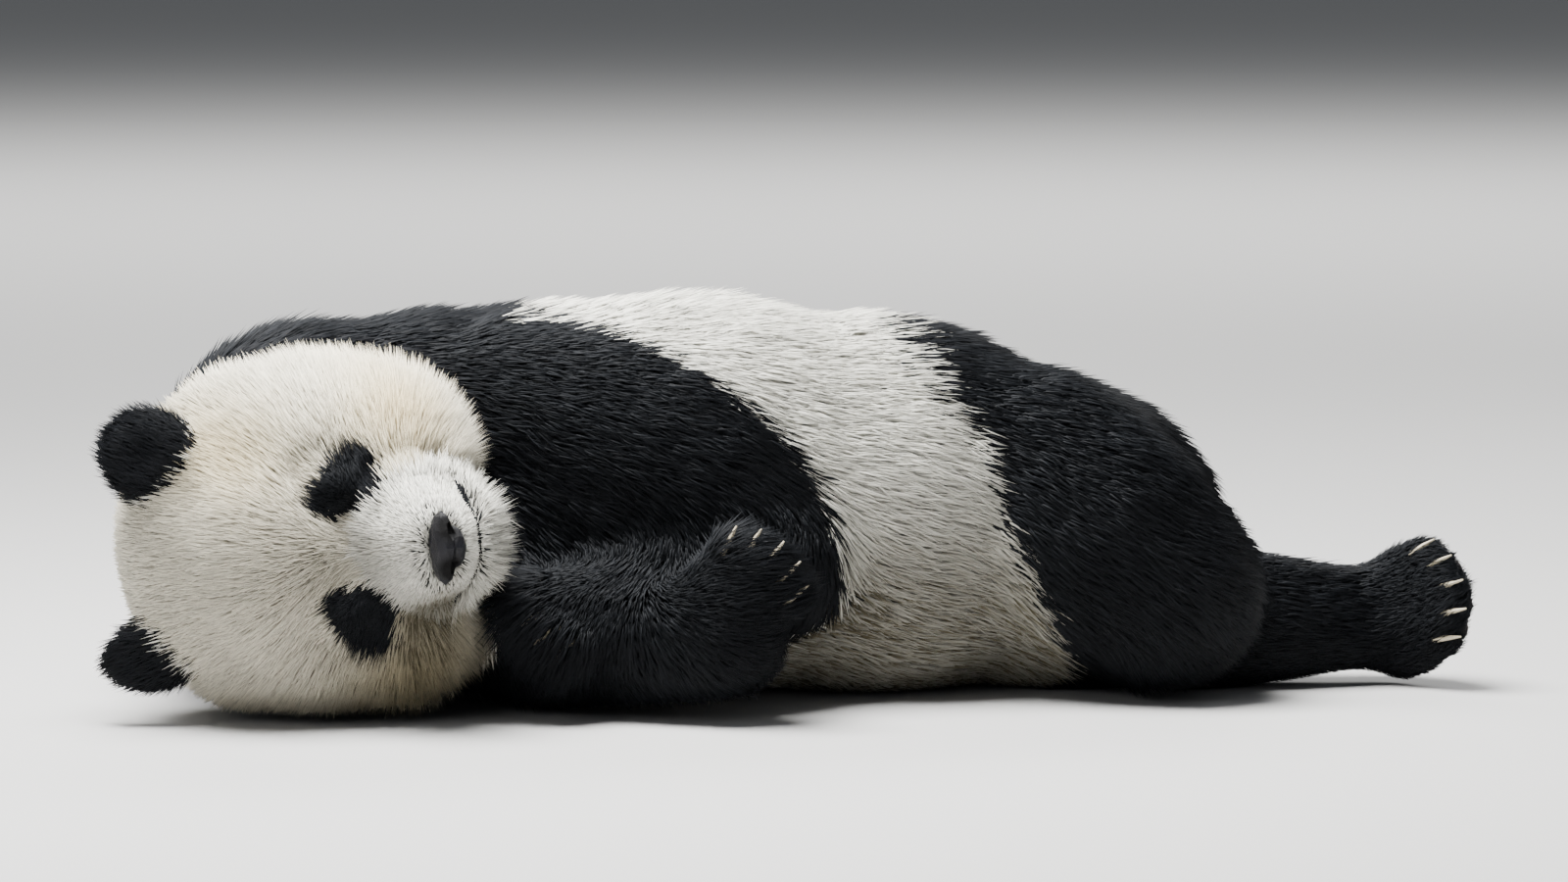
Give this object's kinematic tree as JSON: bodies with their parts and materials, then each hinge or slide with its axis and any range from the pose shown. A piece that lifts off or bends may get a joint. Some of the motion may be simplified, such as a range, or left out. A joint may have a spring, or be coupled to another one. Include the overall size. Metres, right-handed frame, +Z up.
{
  "type": "giant panda",
  "caption": "Life-size still model of a giant panda asleep on its right side, head tucked forward over its forelegs, one hind leg stretched out behind.",
  "frame": {"origin": "middle of the animal's outline on the floor, at the level of the flats that it rests on", "axes": "+X from the head towards the rump, +Y towards the back, -Y towards the belly and the face, +Z up through the left side"},
  "size_m": [1.3746, 0.679, 0.406],
  "materials": {
    "white_fur": "dense cream-white coat, grey-brown towards the belly",
    "black_fur": "dense black coat with a faint sheen",
    "claw_horn": "pale horn",
    "nose_leather": "pebbled, slightly moist",
    "eye": "glossy dark brown"
  },
  "bodies": {
    "root": {"belly": "white_fur", "chest": "black_fur", "head": "white_fur", "left_ear": "black_fur", "left_eye": "eye", "left_forearm": "black_fur", "left_forepaw": "black_fur", "left_forepaw_claw_1": "claw_horn", "left_forepaw_claw_2": "claw_horn", "left_forepaw_claw_3": "claw_horn", "left_forepaw_claw_4": "claw_horn", "left_forepaw_claw_5": "claw_horn", "left_hind_foot": "black_fur", "left_hind_foot_claw_1": "claw_horn", "left_hind_foot_claw_2": "claw_horn", "left_hind_foot_claw_3": "claw_horn", "left_hind_foot_claw_4": "claw_horn", "left_hind_foot_claw_5": "claw_horn", "left_shank": "black_fur", "left_thigh": "black_fur", "left_upper_arm": "black_fur", "muzzle": "white_fur", "neck": "black_fur", "nose": "nose_leather", "right_ear": "black_fur", "right_eye": "eye", "right_forearm": "black_fur", "right_forepaw": "black_fur", "right_forepaw_claw_1": "claw_horn", "right_forepaw_claw_2": "claw_horn", "right_forepaw_claw_3": "claw_horn", "right_forepaw_claw_4": "claw_horn", "right_forepaw_claw_5": "claw_horn", "right_hind_foot": "black_fur", "right_hind_foot_claw_1": "claw_horn", "right_hind_foot_claw_2": "claw_horn", "right_hind_foot_claw_3": "claw_horn", "right_hind_foot_claw_4": "claw_horn", "right_hind_foot_claw_5": "claw_horn", "right_shank": "black_fur", "right_thigh": "black_fur", "right_upper_arm": "black_fur", "rump": "white_fur", "tail": "white_fur"}
  },
  "joints": []
}
